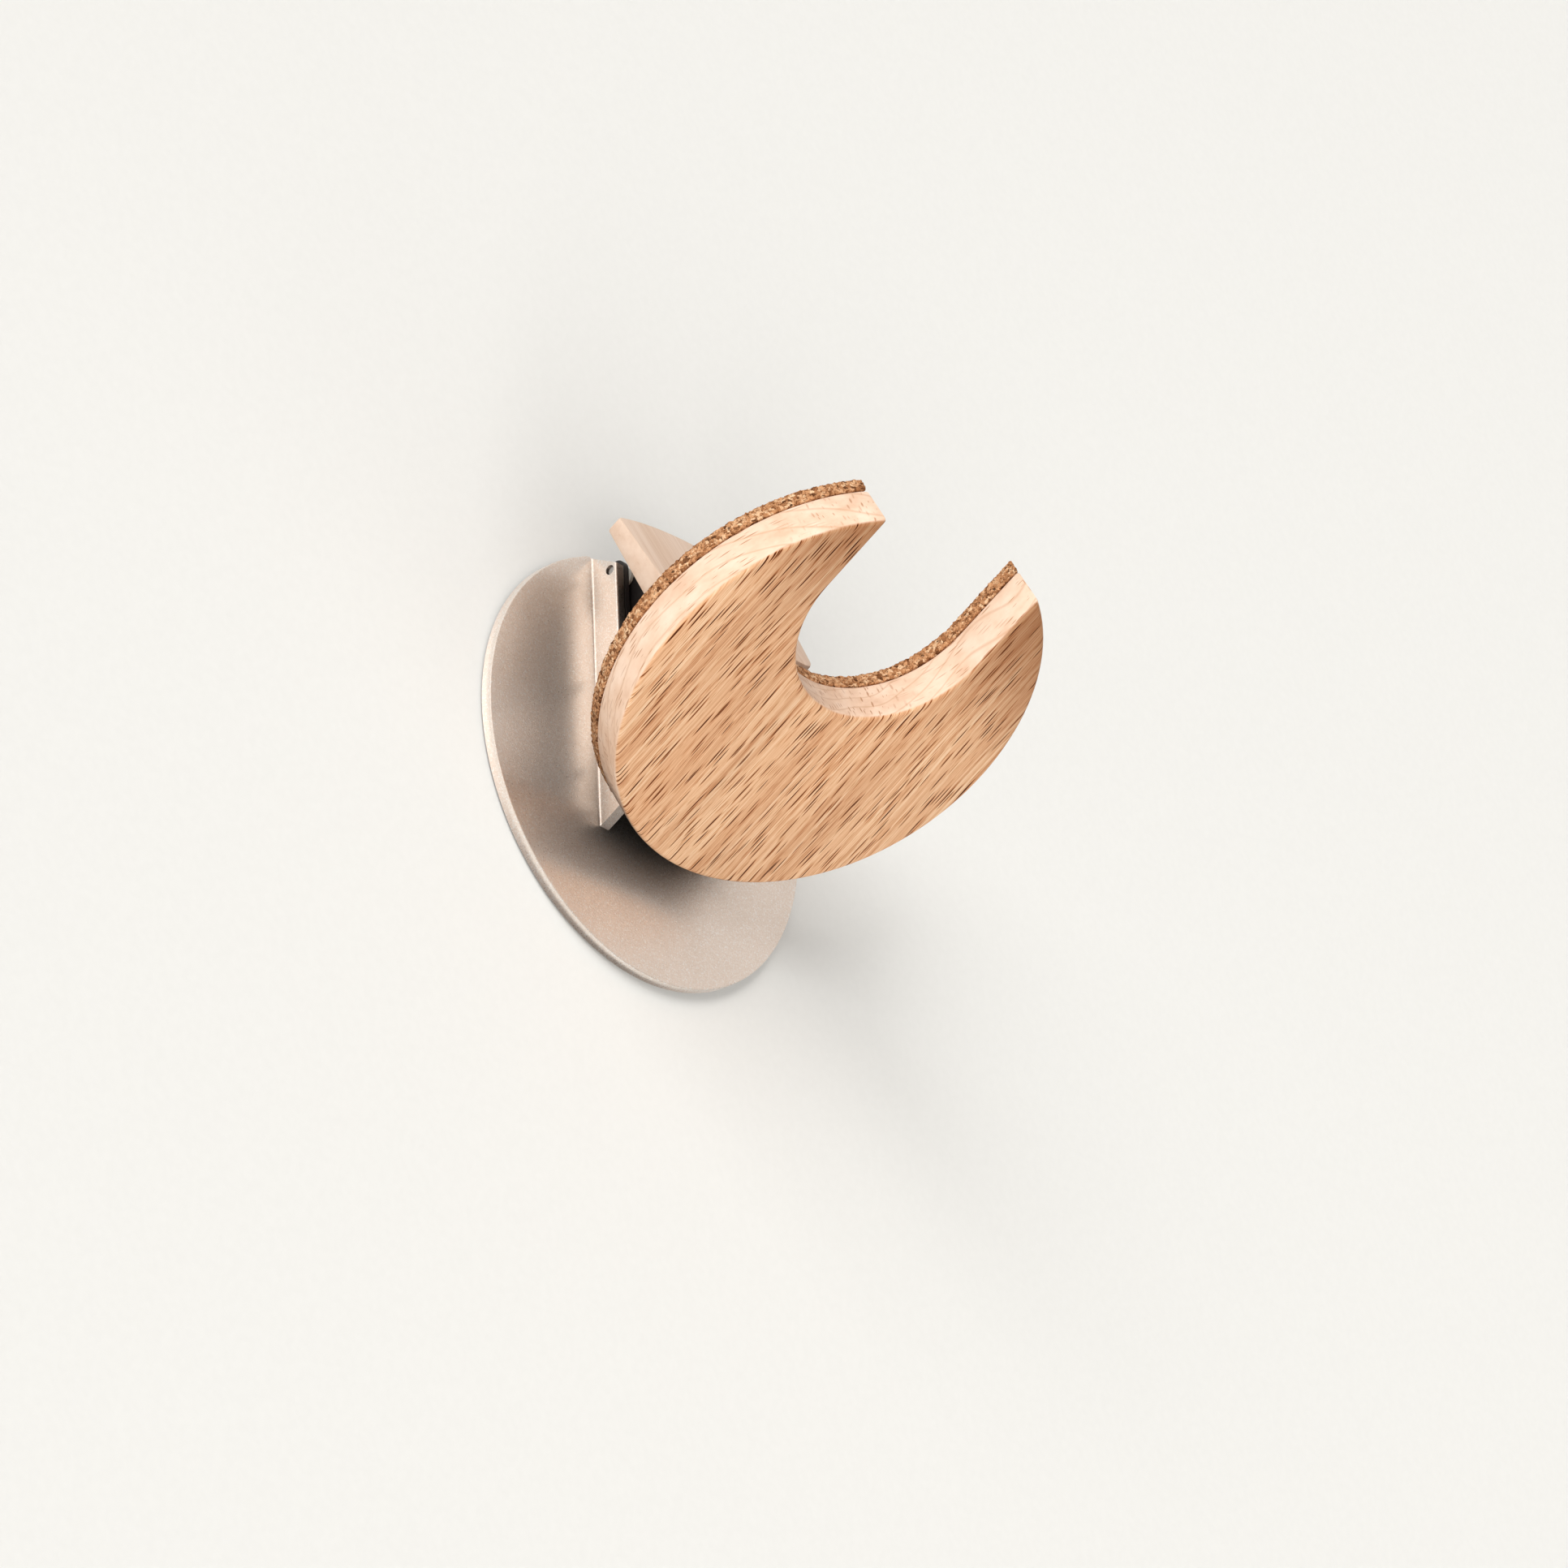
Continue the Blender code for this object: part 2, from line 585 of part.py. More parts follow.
def cradle_side():
    """Side outline of the bracket's cheeks as (out, up) about the hinge axis."""
    top_up = CRADLE_TOP - YOKE_DROP
    top_out = YOKE_OUT + board_back(CRADLE_TOP) - GAP
    foot_up = YOKE_THICKNESS + GAP - YOKE_DROP
    foot_out = YOKE_OUT + board_back(YOKE_THICKNESS + GAP) - GAP
    rear_out = YOKE_OUT + CRADLE_REAR
    outline = [(top_out, top_up), (foot_out, foot_up), (rear_out, foot_up)]
    outline.reverse()
    ear = arc(0.0, 0.0, EAR_RADIUS, -58, 160, 16)
    return outline + ear


def cradle_web():
    """Side outline of the bracket's two webs, behind the board and on the yoke."""
    top = CRADLE_TOP
    low = YOKE_THICKNESS + GAP
    front = YOKE_OUT - GAP
    rear = YOKE_OUT + CRADLE_REAR
    inner = low + STEEL
    return [(rear, low - YOKE_DROP), (front + board_back(low), low - YOKE_DROP),
            (front + board_back(top), top - YOKE_DROP),
            (front + board_back(top) - STEEL, top - YOKE_DROP),
            (front + board_back(inner) - STEEL, inner - YOKE_DROP), (rear, inner - YOKE_DROP)]


def make_cradle_bracket(cradle):
    """Folded steel bracket: a web behind the board, a web on the yoke and two cheeks."""
    finish = material("black_cradle_steel", (0.02, 0.018, 0.018), 0.45, 0.6)
    mesh = flat_mesh("cradle_bracket", cradle_web(), -CRADLE_HALF, CRADLE_HALF)
    bracket = side_view(add_object("cradle_bracket", mesh, PARTS, cradle, finish))
    for side, word in SIDES:
        low, high = sorted((side * (CRADLE_HALF - STEEL), side * CRADLE_HALF))
        mesh = flat_mesh("cradle_cheek_" + word, cradle_side(), low, high)
        cheek = mark_cutter(side_view(add_object("cradle_cheek_" + word, mesh, CUTTERS, cradle)))
        combine(bracket, cheek, "UNION")
    mesh = rod_mesh("ear_holes", [((-FLANGE_FACE, 0.0, 0.0), (FLANGE_FACE, 0.0, 0.0))],
                    BUSH_RADIUS + RUNNING)
    combine(bracket, mark_cutter(add_object("ear_holes", mesh, CUTTERS, cradle)), "DIFFERENCE")
    rods = yoke_screw_rods(YOKE_THICKNESS - STEEL, YOKE_THICKNESS + 3 * STEEL)
    mesh = rod_mesh("yoke_screw_holes", rods, SCREW_RADIUS + GAP)
    holes = mark_cutter(on_yoke(add_object("yoke_screw_holes", mesh, CUTTERS), cradle))
    combine(bracket, holes, "DIFFERENCE")
    rods = board_screw_rods(-STEEL, 2 * STEEL)
    mesh = rod_mesh("web_screw_holes", rods, BOARD_SCREW_RADIUS + GAP)
    holes = mark_cutter(on_yoke(add_object("web_screw_holes", mesh, CUTTERS), cradle))
    combine(bracket, holes, "DIFFERENCE")
    smooth(bracket)


def screw_profile(seat, length, shank, head, height):
    """Pan-head screw as (radius, height): head above its seat, shank below it."""
    crown = height / 3
    return [(0.0, seat + height), (head - crown, seat + height), (head, seat + height - crown),
            (head, seat), (shank, seat), (shank, seat - length + shank), (shank / 2, seat - length),
            (0.0, seat - length)]


def place_on_rod(item, rod, cradle):
    """Put a turned piece's origin at a rod's start, its +Z along the rod."""
    start, end = Vector(rod[0]), Vector(rod[1])
    item.parent = cradle
    item.rotation_euler = (end - start).to_track_quat("Z", "Y").to_euler()
    item.location = start + Vector((0.0, -YOKE_OUT, -YOKE_DROP))
    return item


def make_screws(name, rods, profile, top, cradle, finish):
    """A socket-head screw on each rod, its profile drawn from the rod's start."""
    for number, rod in enumerate(rods, 1):
        label = name + "_" + str(number)
        screw = place_on_rod(turned_object(label, profile, PARTS, None, finish), rod, cradle)
        span = ((0.0, 0.0, top - SOCKET_DEPTH), (0.0, 0.0, top + SOCKET_DEPTH))
        mesh = rod_mesh(label + "_socket", [span], SOCKET_RADIUS, 6)
        socket = place_on_rod(add_object(label + "_socket", mesh, CUTTERS), rod, cradle)
        combine(screw, mark_cutter(socket), "DIFFERENCE")
        smooth(screw)


def make_board_screws(cradle):
    """Four screws through the bracket into the back of the board."""
    finish = material("black_screws", (0.03, 0.03, 0.03), 0.35, 0.9)
    seat = 2 * GAP + STEEL
    profile = screw_profile(seat, seat + BOARD_SCREW_BITE, BOARD_SCREW_RADIUS,
                            BOARD_SCREW_HEAD, HEAD_HEIGHT)
    rods = board_screw_rods(0.0, seat)
    make_screws("board_screw", rods, profile, seat + HEAD_HEIGHT, cradle, finish)


def make_yoke_fasteners(cradle):
    """Threaded inserts in the yoke, with a washer and a screw at each."""
    brass = material("insert_brass", (0.7, 0.5, 0.2), 0.35, 1.0)
    zinc = material("washer_zinc", (0.6, 0.6, 0.6), 0.35, 1.0)
    steel = material("yoke_screw_steel", (0.04, 0.04, 0.04), 0.35, 0.9)
    rods = yoke_screw_rods(0.0, YOKE_THICKNESS)
    bore = SCREW_RADIUS + GAP
    insert_top = YOKE_THICKNESS - GAP
    insert_low = insert_top - INSERT_LENGTH
    insert = [(bore, insert_top), (INSERT_RADIUS, insert_top), (INSERT_RADIUS, insert_low),
              (bore, insert_low)]
    washer_low = YOKE_THICKNESS + 2 * GAP + STEEL
    washer_top = washer_low + STEEL / 2
    outer = HEAD_RADIUS + 2 * GAP
    washer = [(bore, washer_top), (outer, washer_top), (outer, washer_low), (bore, washer_low)]
    for number, rod in enumerate(rods, 1):
        piece = turned_object("yoke_insert_" + str(number), insert, PARTS, None, brass)
        smooth(place_on_rod(piece, rod, cradle))
        piece = turned_object("yoke_screw_washer_" + str(number), washer, PARTS, None, zinc)
        smooth(place_on_rod(piece, rod, cradle))
    seat = washer_top + GAP
    profile = screw_profile(seat, seat - insert_low, SCREW_RADIUS, HEAD_RADIUS, HEAD_HEIGHT)
    make_screws("yoke_screw", rods, profile, seat + HEAD_HEIGHT, cradle, steel)


def make_dowels(cradle):
    """Two beech dowels that locate the board's foot on the yoke."""
    finish = material("dowel_beech", (0.75, 0.58, 0.4), 0.6)
    for side, word in SIDES:
        name = "board_dowel_" + word
        mesh = rod_mesh(name, [dowel_rod(side, 0.0)], DOWEL_RADIUS)
        dowel = on_yoke(add_object(name, mesh, PARTS, None, finish), cradle)
        round_edges(dowel, DOWEL_RADIUS / 5, 1)
        smooth(dowel)


def main():
    """Build the whole hanger."""
    make_wall_plate()
    make_wall_bracket()
    make_bracket_pins()
    make_hinge_pin()
    cradle = make_cradle_frame()
    make_hinge_rings(cradle)
    make_pin_clips()
    rods = [dowel_rod(side, GAP) for side, _ in SIDES]
    mesh = rod_mesh("dowel_holes", rods, DOWEL_RADIUS + GAP)
    dowel_holes = mark_cutter(on_yoke(add_object("dowel_holes", mesh, CUTTERS), cradle))
    make_yoke(cradle, dowel_holes)
    make_cork_pad(cradle)
    make_back_board(cradle, dowel_holes)
    make_cradle_bracket(cradle)
    make_board_screws(cradle)
    make_yoke_fasteners(cradle)
    make_dowels(cradle)


main()
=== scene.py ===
"""Looks of the wall guitar hanger: materials, the granular cork, the wall, the light and the camera."""
import math

import bmesh
import bpy
from mathutils import Matrix, Vector


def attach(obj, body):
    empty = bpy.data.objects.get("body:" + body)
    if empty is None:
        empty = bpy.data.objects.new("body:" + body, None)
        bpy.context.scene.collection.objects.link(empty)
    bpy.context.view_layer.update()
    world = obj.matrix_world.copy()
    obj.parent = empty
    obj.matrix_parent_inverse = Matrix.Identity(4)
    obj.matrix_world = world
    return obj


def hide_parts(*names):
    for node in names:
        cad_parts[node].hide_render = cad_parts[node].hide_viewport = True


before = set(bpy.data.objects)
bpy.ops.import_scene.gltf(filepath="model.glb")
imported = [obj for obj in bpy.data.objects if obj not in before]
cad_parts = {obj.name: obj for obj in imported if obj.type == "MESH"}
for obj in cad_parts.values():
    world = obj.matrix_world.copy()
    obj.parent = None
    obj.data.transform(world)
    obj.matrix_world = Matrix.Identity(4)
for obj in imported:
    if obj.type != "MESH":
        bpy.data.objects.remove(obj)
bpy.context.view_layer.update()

# Frame of the cradle, in metres: its yoke rises towards the room by this angle, and this is
# the centre of the yoke's lower face
TILT = math.radians(28.1)
UPWARD = Vector((0.0, math.sin(TILT), math.cos(TILT)))
FACE_CENTER = Vector((0.0, -0.06114, -0.00387))
MM = 1000.0

# Oak, in millimetres in the cradle's frame: where its sides' colour starts and is full, above
# the lower face, and between which places the shade painted onto the horns and the rear edge fades in,
# along the grain
SIDE_START = 0.25
SIDE_FULL = 0.8
HORN_SHADE_FULL = -97.0
HORN_SHADE_NONE = -56.0
REAR_SHADE_NONE = -9.0
REAR_SHADE_FULL = -3.0

# Slope of the line along which the painted shade on the horns grows darker, and the dark core's share
# of a pore's radius
HORN_SHADE_LEAN = 0.1
PORE_CORE = 0.45

# Cork, in metres: how far it reaches down past its CAD solid, onto the wood, and its finest step
CORK_SINK = 0.00015
CORK_STEP = 0.0005

# Growth rings of the yoke's board, in millimetres in the cradle's frame
RING_CENTER = (-14.0, 26.0, 0.0)
RINGS_PER_MM = 0.24
RING_WANDER = 16.0

# Aluminium, in metres: how close a piece has to be for shade to be painted on the plate's front
PAINTED_SHADE_REACH = 0.02

# CAD meshes: widths of their rounded edges and welding distance, in metres, and angles
PLATE_EDGE = 0.00015
BRACKET_EDGE = 0.00012
WELD = 0.000002
FLAT_ANGLE = math.radians(0.5)
EDGE_ANGLE = math.radians(35)
SHARP_ANGLE = math.radians(32)

# Camera
CAMERA_PLACE = (-0.98061, -0.86382, -0.65899)
CAMERA_AZIMUTH = math.radians(50.144)
CAMERA_PITCH = math.radians(26.625)
CAMERA_ROLL = math.radians(-2.657)
LENS = 139.75
SENSOR = 36.0

# Room, in metres. The wall lets light through to what is closer to it than TOUCHING
WALL_PLACE = 0.0006
FLOOR_HEIGHT = -1.3
ROOM_SIZE = 8.0
TOUCHING = 0.004


def new_material(name):
    """A new material, its node tree and its Principled shader."""
    finish = bpy.data.materials.new(name)
    finish.use_nodes = True
    tree = finish.node_tree
    return finish, tree, tree.nodes["Principled BSDF"]


def feed(tree, socket, value):
    """Set an input to a number or a colour, or link it to another node's output."""
    if isinstance(value, bpy.types.NodeSocket):
        tree.links.new(value, socket)
    elif hasattr(value, "__len__") and len(value) == 3 and len(socket.default_value) == 4:
        socket.default_value = (*value, 1.0)
    else:
        socket.default_value = value


def node(tree, kind, settings, inputs):
    """Add a node with its settings and inputs."""
    item = tree.nodes.new("ShaderNode" + kind)
    for key, value in settings.items():
        setattr(item, key, value)
    for key, value in inputs.items():
        feed(tree, item.inputs[key], value)
    return item


def maths(tree, operation, first, second=0.0):
    """Output of a math node, whose inputs are numbers or other nodes' outputs."""
    return node(tree, "Math", {"operation": operation}, {0: first, 1: second}).outputs[0]


def product(tree, first, second):
    """One number or output times another."""
    return maths(tree, "MULTIPLY", first, second)


def remap(tree, value, low, high, to_low=0.0, to_high=1.0):
    """Smoothly take one range of values to another."""
    inputs = {"Value": value, "From Min": low, "From Max": high, "To Min": to_low, "To Max": to_high}
    settings = {"interpolation_type": "SMOOTHSTEP"}
    return node(tree, "MapRange", settings, inputs).outputs["Result"]


def blend_colors(tree, factor, first, second, mode="MIX"):
    """The first colour where the factor is 0, and the second blended over it where it is 1."""
    item = node(tree, "Mix", {"data_type": "RGBA", "blend_type": mode}, {})
    feed(tree, item.inputs[0], factor)
    feed(tree, item.inputs[6], first)
    feed(tree, item.inputs[7], second)
    return item.outputs[2]


def ramp(tree, factor, stops):
    """Colours along a factor, as (place, colour) pairs."""
    item = node(tree, "ValToRGB", {}, {"Fac": factor})
    marks = item.color_ramp.elements
    while len(marks) < len(stops):
        marks.new(0.5)
    for mark, (place, color) in zip(marks, stops):
        mark.position = place
        mark.color = (*color, 1.0)
    return item.outputs["Color"]


def place_mm(tree, tilt=0.0):
    """Object coordinates in millimetres, turned so that Z is square to the yoke where tilted."""
    coordinates = node(tree, "TexCoord", {}, {}).outputs["Object"]
    settings = {"vector_type": "POINT"}
    inputs = {"Vector": coordinates, "Rotation": (tilt, 0.0, 0.0), "Scale": (MM, MM, MM)}
    return node(tree, "Mapping", settings, inputs).outputs["Vector"]


def stretched(tree, vector, size):
    """Divide a place by a size along each axis."""
    scale = tuple(1.0 / length for length in size)
    settings = {"operation": "MULTIPLY"}
    return node(tree, "VectorMath", settings, {0: vector, 1: scale}).outputs["Vector"]


def noise(tree, vector, size, detail=2.0, roughness=0.5):
    """Soft noise whose patches have a size along each axis."""
    inputs = {"Vector": stretched(tree, vector, size), "Scale": 1.0, "Detail": detail,
              "Roughness": roughness}
    return node(tree, "TexNoise", {}, inputs).outputs["Fac"]


def cells(tree, vector, size, feature="F1", dimensions="3D"):
    """A cell texture whose cells have a size along each axis."""
    inputs = {"Vector": stretched(tree, vector, size), "Scale": 1.0}
    settings = {"feature": feature, "voronoi_dimensions": dimensions}
    return node(tree, "TexVoronoi", settings, inputs)


def height_along(tree, vector, axis):
    """One axis of a vector, or one channel of a colour."""
    return node(tree, "SeparateXYZ", {}, {"Vector": vector}).outputs[axis]


def bump(tree, shader, height, distance, strength=1.0):
    """Give a shader relief, from a height and the depth in metres that a height of 1 stands for."""
    inputs = {"Height": height, "Distance": distance, "Strength": strength}
    feed(tree, shader.inputs["Normal"], node(tree, "Bump", {}, inputs).outputs["Normal"])


def pores(tree, place, size, radius, spread):
    """1 inside long thin pores that lie along a flat place's grain, their sizes varied."""
    texture = cells(tree, place, size, dimensions="2D")
    chance = height_along(tree, texture.outputs["Color"], "X")
    reach = remap(tree, chance, 0.0, 1.0, radius * (1.0 - spread), radius)
    inner = product(tree, reach, PORE_CORE)
    inputs = {"Value": texture.outputs["Distance"], "From Min": reach, "From Max": inner,
              "To Min": 0.0, "To Max": 1.0}
    return node(tree, "MapRange", {"interpolation_type": "SMOOTHSTEP"}, inputs).outputs["Result"]


def end_grain_share(tree):
    """How far the surface faces along the cradle's grain, from 0 to 1."""
    normal = node(tree, "TexCoord", {}, {}).outputs["Normal"]
    inputs = {"Vector": normal, "Rotation": (TILT, 0.0, 0.0)}
    turned = node(tree, "Mapping", {"vector_type": "VECTOR"}, inputs).outputs["Vector"]
    along = maths(tree, "ABSOLUTE", height_along(tree, turned, "Y"))
    return remap(tree, along, 0.45, 0.85)


def wavy_place(tree):
    """Place in the cradle's frame, swayed a little so that the grain isn't ruler-straight."""
    place = place_mm(tree, TILT)
    sway = remap(tree, noise(tree, place, (16.0, 90.0, 30.0), 1.0), 0.2, 0.8, -1.2, 1.2)
    shift = node(tree, "CombineXYZ", {}, {"X": sway}).outputs["Vector"]
    return node(tree, "VectorMath", {"operation": "ADD"}, {0: place, 1: shift}).outputs["Vector"]


def oak_face(tree, place):
    """Colour and fine lines of the long-grain face before its pores, with shade painted darker at the
    horns.
    """
    fine = noise(tree, place, (0.26, 60.0, 3.0), 1.0, 0.5)
    lines = noise(tree, place, (0.9, 110.0, 6.0), 2.0, 0.55)
    broad = noise(tree, place, (9.0, 120.0, 20.0), 2.0)
    mixed = maths(tree, "ADD", product(tree, fine, 0.5), product(tree, lines, 0.5))
    face = ramp(tree, mixed, [(0.36, (0.58, 0.285, 0.140)), (0.45, (0.71, 0.395, 0.220)),
                              (0.55, (0.79, 0.490, 0.292)), (0.64, (0.86, 0.605, 0.400))])
    tint = ramp(tree, broad, [(0.35, (0.93, 0.90, 0.88)), (0.65, (1.03, 1.03, 1.03))])
    face = blend_colors(tree, 1.0, face, tint, "MULTIPLY")
    # Painted shade, not the wood's colour: the horns darken towards their tips, the +X horn more
    leaning = product(tree, height_along(tree, place, "X"), HORN_SHADE_LEAN)
    reach = maths(tree, "SUBTRACT", height_along(tree, place, "Y"), leaning)
    clear = remap(tree, reach, HORN_SHADE_FULL, HORN_SHADE_NONE)
    shade = ramp(tree, clear, [(0.0, (0.58, 0.48, 0.40)), (1.0, (1.03, 1.03, 1.03))])
    return blend_colors(tree, 1.0, face, shade, "MULTIPLY"), fine


def turned_place(tree, place, across, along):
    """Two of a place's axes as a flat place, for marks that run along the second."""
    parts = node(tree, "SeparateXYZ", {}, {"Vector": place}).outputs
    inputs = {"X": parts[across], "Y": parts[along]}
    return node(tree, "CombineXYZ", {}, inputs).outputs["Vector"]


def growth_rings(tree, place):
    """1 along the thin lines where growth rings, centred above the yoke, meet its sides."""
    flat = turned_place(tree, place, "X", "Z")
    ends = {0: flat, 1: RING_CENTER}
    offset = node(tree, "VectorMath", {"operation": "SUBTRACT"}, ends).outputs["Vector"]
    radius = node(tree, "VectorMath", {"operation": "LENGTH"}, {0: offset}).outputs["Value"]
    warp = product(tree, noise(tree, place, (26.0, 34.0, 26.0), 1.0), RING_WANDER)
    phase = maths(tree, "FRACT", product(tree, maths(tree, "ADD", radius, warp), RINGS_PER_MM))
    distance = maths(tree, "ABSOLUTE", maths(tree, "SUBTRACT", phase, 0.5))
    return remap(tree, distance, 0.0, 0.1, 1.0, 0.0)


def oak_side(tree, place):
    """Colour of the planed sides: pale, ticked on end grain, streaked along it, with shade painted
    darker at the rear.
    """
    ends = end_grain_share(tree)
    cloud = noise(tree, place, (5.0, 9.0, 5.0), 3.0, 0.6)
    pale = ramp(tree, cloud, [(0.3, (0.74, 0.490, 0.345)), (0.5, (0.83, 0.590, 0.440)),
                              (0.7, (0.89, 0.675, 0.535))])
    ticks = pores(tree, turned_place(tree, place, "X", "Z"), (0.9, 4.5, 1.0), 0.30, 0.7)
    streaks = pores(tree, turned_place(tree, place, "Z", "Y"), (0.9, 9.0, 1.0), 0.26, 0.8)
    marks = node(tree, "Mix", {"data_type": "FLOAT"}, {0: ends, 2: streaks, 3: ticks}).outputs[0]
    patch = remap(tree, noise(tree, place, (9.0, 9.0, 5.0), 1.0), 0.42, 0.58, 0.45, 1.0)
    marks = product(tree, product(tree, marks, patch), 0.8)
    color = blend_colors(tree, marks, pale, (0.44, 0.195, 0.095))
    line = product(tree, growth_rings(tree, place), 0.42)
    color = blend_colors(tree, line, color, (0.56, 0.30, 0.160))
    # Painted shade: the rear edge next to the plate is darkened in colour
    rear = remap(tree, height_along(tree, place, "Y"), REAR_SHADE_NONE, REAR_SHADE_FULL, 0.0, 0.7)
    return blend_colors(tree, rear, color, (0.09, 0.045, 0.028))


def oak_pores(tree, place):
    """How deep the face's open pores are, from 0 to 1: bold ones, with faint and tiny ones between."""
    bold = pores(tree, place, (1.0, 20.0, 1.0), 0.26, 0.4)
    faint = pores(tree, place, (0.7, 14.0, 1.0), 0.27, 0.7)
    tiny = pores(tree, place, (0.42, 5.5, 1.0), 0.28, 0.8)
    hollow = maths(tree, "MAXIMUM", bold, product(tree, faint, 0.4))
    hollow = maths(tree, "MAXIMUM", hollow, product(tree, tiny, 0.15))
    depth = remap(tree, noise(tree, place, (3.0, 12.0, 6.0), 1.0), 0.35, 0.62, 0.75, 1.0)
    return product(tree, hollow, depth)


def oak():
    """Oak with open pores on its face and paler sides."""
    finish, tree, shader = new_material("oak_oiled")
    place = wavy_place(tree)
    height = height_along(tree, place, "Z")
    face_height = (FACE_CENTER.y * math.sin(TILT) + FACE_CENTER.z * math.cos(TILT)) * MM
    side = remap(tree, height, face_height + SIDE_START, face_height + SIDE_FULL)
    face, fine = oak_face(tree, place)
    color = blend_colors(tree, side, face, oak_side(tree, place))
    mark = product(tree, oak_pores(tree, place), remap(tree, side, 0.0, 1.0, 1.0, 0.0))
    brown = ramp(tree, mark, [(0.0, (1.0, 1.0, 1.0)), (0.3, (0.78, 0.62, 0.48)),
                              (0.65, (0.38, 0.20, 0.10)), (1.0, (0.10, 0.035, 0.015))])
    color = blend_colors(tree, 1.0, color, brown, "MULTIPLY")
    feed(tree, shader.inputs["Base Color"], color)
    feed(tree, shader.inputs["Roughness"], remap(tree, fine, 0.2, 0.8, 0.62, 0.5))
    shader.inputs["Specular IOR Level"].default_value = 0.22
    relief = maths(tree, "SUBTRACT", product(tree, fine, 0.3), mark)
    bump(tree, shader, relief, 0.0001, 0.4)
    return finish


def beech():
    """Smooth sanded beech with faint fibres and small flecks."""
    finish, tree, shader = new_material("beech_sanded")
    place = place_mm(tree, TILT)
    fibres = noise(tree, place, (0.5, 3.0, 18.0), 3.0, 0.6)
    flow = noise(tree, place, (6.0, 30.0, 45.0), 2.0)
    color = ramp(tree, fibres, [(0.25, (0.66, 0.465, 0.345)), (0.5, (0.72, 0.535, 0.415)),
                                (0.8, (0.78, 0.605, 0.485))])
    tint = ramp(tree, flow, [(0.35, (0.95, 0.92, 0.89)), (0.65, (1.02, 1.03, 1.04))])
    color = blend_colors(tree, 1.0, color, tint, "MULTIPLY")
    flecks = pores(tree, place, (1.3, 3.0, 1.0), 0.17, 0.8)
    color = blend_colors(tree, product(tree, flecks, 0.22), color, (0.55, 0.33, 0.20))
    feed(tree, shader.inputs["Base Color"], color)
    feed(tree, shader.inputs["Roughness"], remap(tree, fibres, 0.2, 0.8, 0.6, 0.5))
    shader.inputs["Specular IOR Level"].default_value = 0.3
    bump(tree, shader, fibres, 0.00005, 0.4)
    return finish


def cork():
    """Pressed cork granules, orange-tan with dark and light ones and dark seams between them."""
    finish, tree, shader = new_material("cork_granules")
    place = place_mm(tree)
    texture = node(tree, "TexNoise", {}, {"Vector": place, "Scale": 1.2, "Detail": 2.0})
    wobble = node(tree, "VectorMath", {"operation": "SCALE"},
                  {0: texture.outputs["Color"], "Scale": 0.9}).outputs["Vector"]
    place = node(tree, "VectorMath", {"operation": "ADD"}, {0: place, 1: wobble}).outputs["Vector"]
    coarse = cells(tree, place, (0.85, 0.85, 0.85))
    chance = height_along(tree, coarse.outputs["Color"], "X")
    color = ramp(tree, chance, [(0.0, (0.13, 0.048, 0.018)), (0.2, (0.38, 0.165, 0.070)),
                                (0.45, (0.54, 0.265, 0.125)), (0.75, (0.66, 0.350, 0.180)),
                                (0.95, (0.82, 0.540, 0.330))])
    small = cells(tree, place, (0.32, 0.32, 0.32))
    grit = height_along(tree, small.outputs["Color"], "Y")
    shade = ramp(tree, grit, [(0.0, (0.34, 0.27, 0.22)), (0.3, (0.88, 0.84, 0.80)),
                              (1.0, (1.12, 1.14, 1.15))])
    color = blend_colors(tree, 1.0, color, shade, "MULTIPLY")
    specks = cells(tree, place, (1.5, 1.5, 1.5))
    speck_size = remap(tree, height_along(tree, specks.outputs["Color"], "Z"), 0.3, 1.0, 0.05, 0.30)
    inputs = {"Value": specks.outputs["Distance"], "From Min": speck_size,
              "From Max": product(tree, speck_size, 0.6), "To Min": 0.0, "To Max": 0.85}
    dark = node(tree, "MapRange", {}, inputs).outputs["Result"]
    color = blend_colors(tree, dark, color, (0.070, 0.030, 0.014))
    feed(tree, shader.inputs["Base Color"], color)
    shader.inputs["Roughness"].default_value = 0.88
    shader.inputs["Specular IOR Level"].default_value = 0.25
    seams = cells(tree, place, (0.85, 0.85, 0.85), "DISTANCE_TO_EDGE").outputs["Distance"]
    relief = maths(tree, "ADD", remap(tree, seams, 0.0, 0.3), product(tree, grit, 0.5))
    bump(tree, shader, maths(tree, "SUBTRACT", relief, dark), 0.0002, 0.7)
    return finish


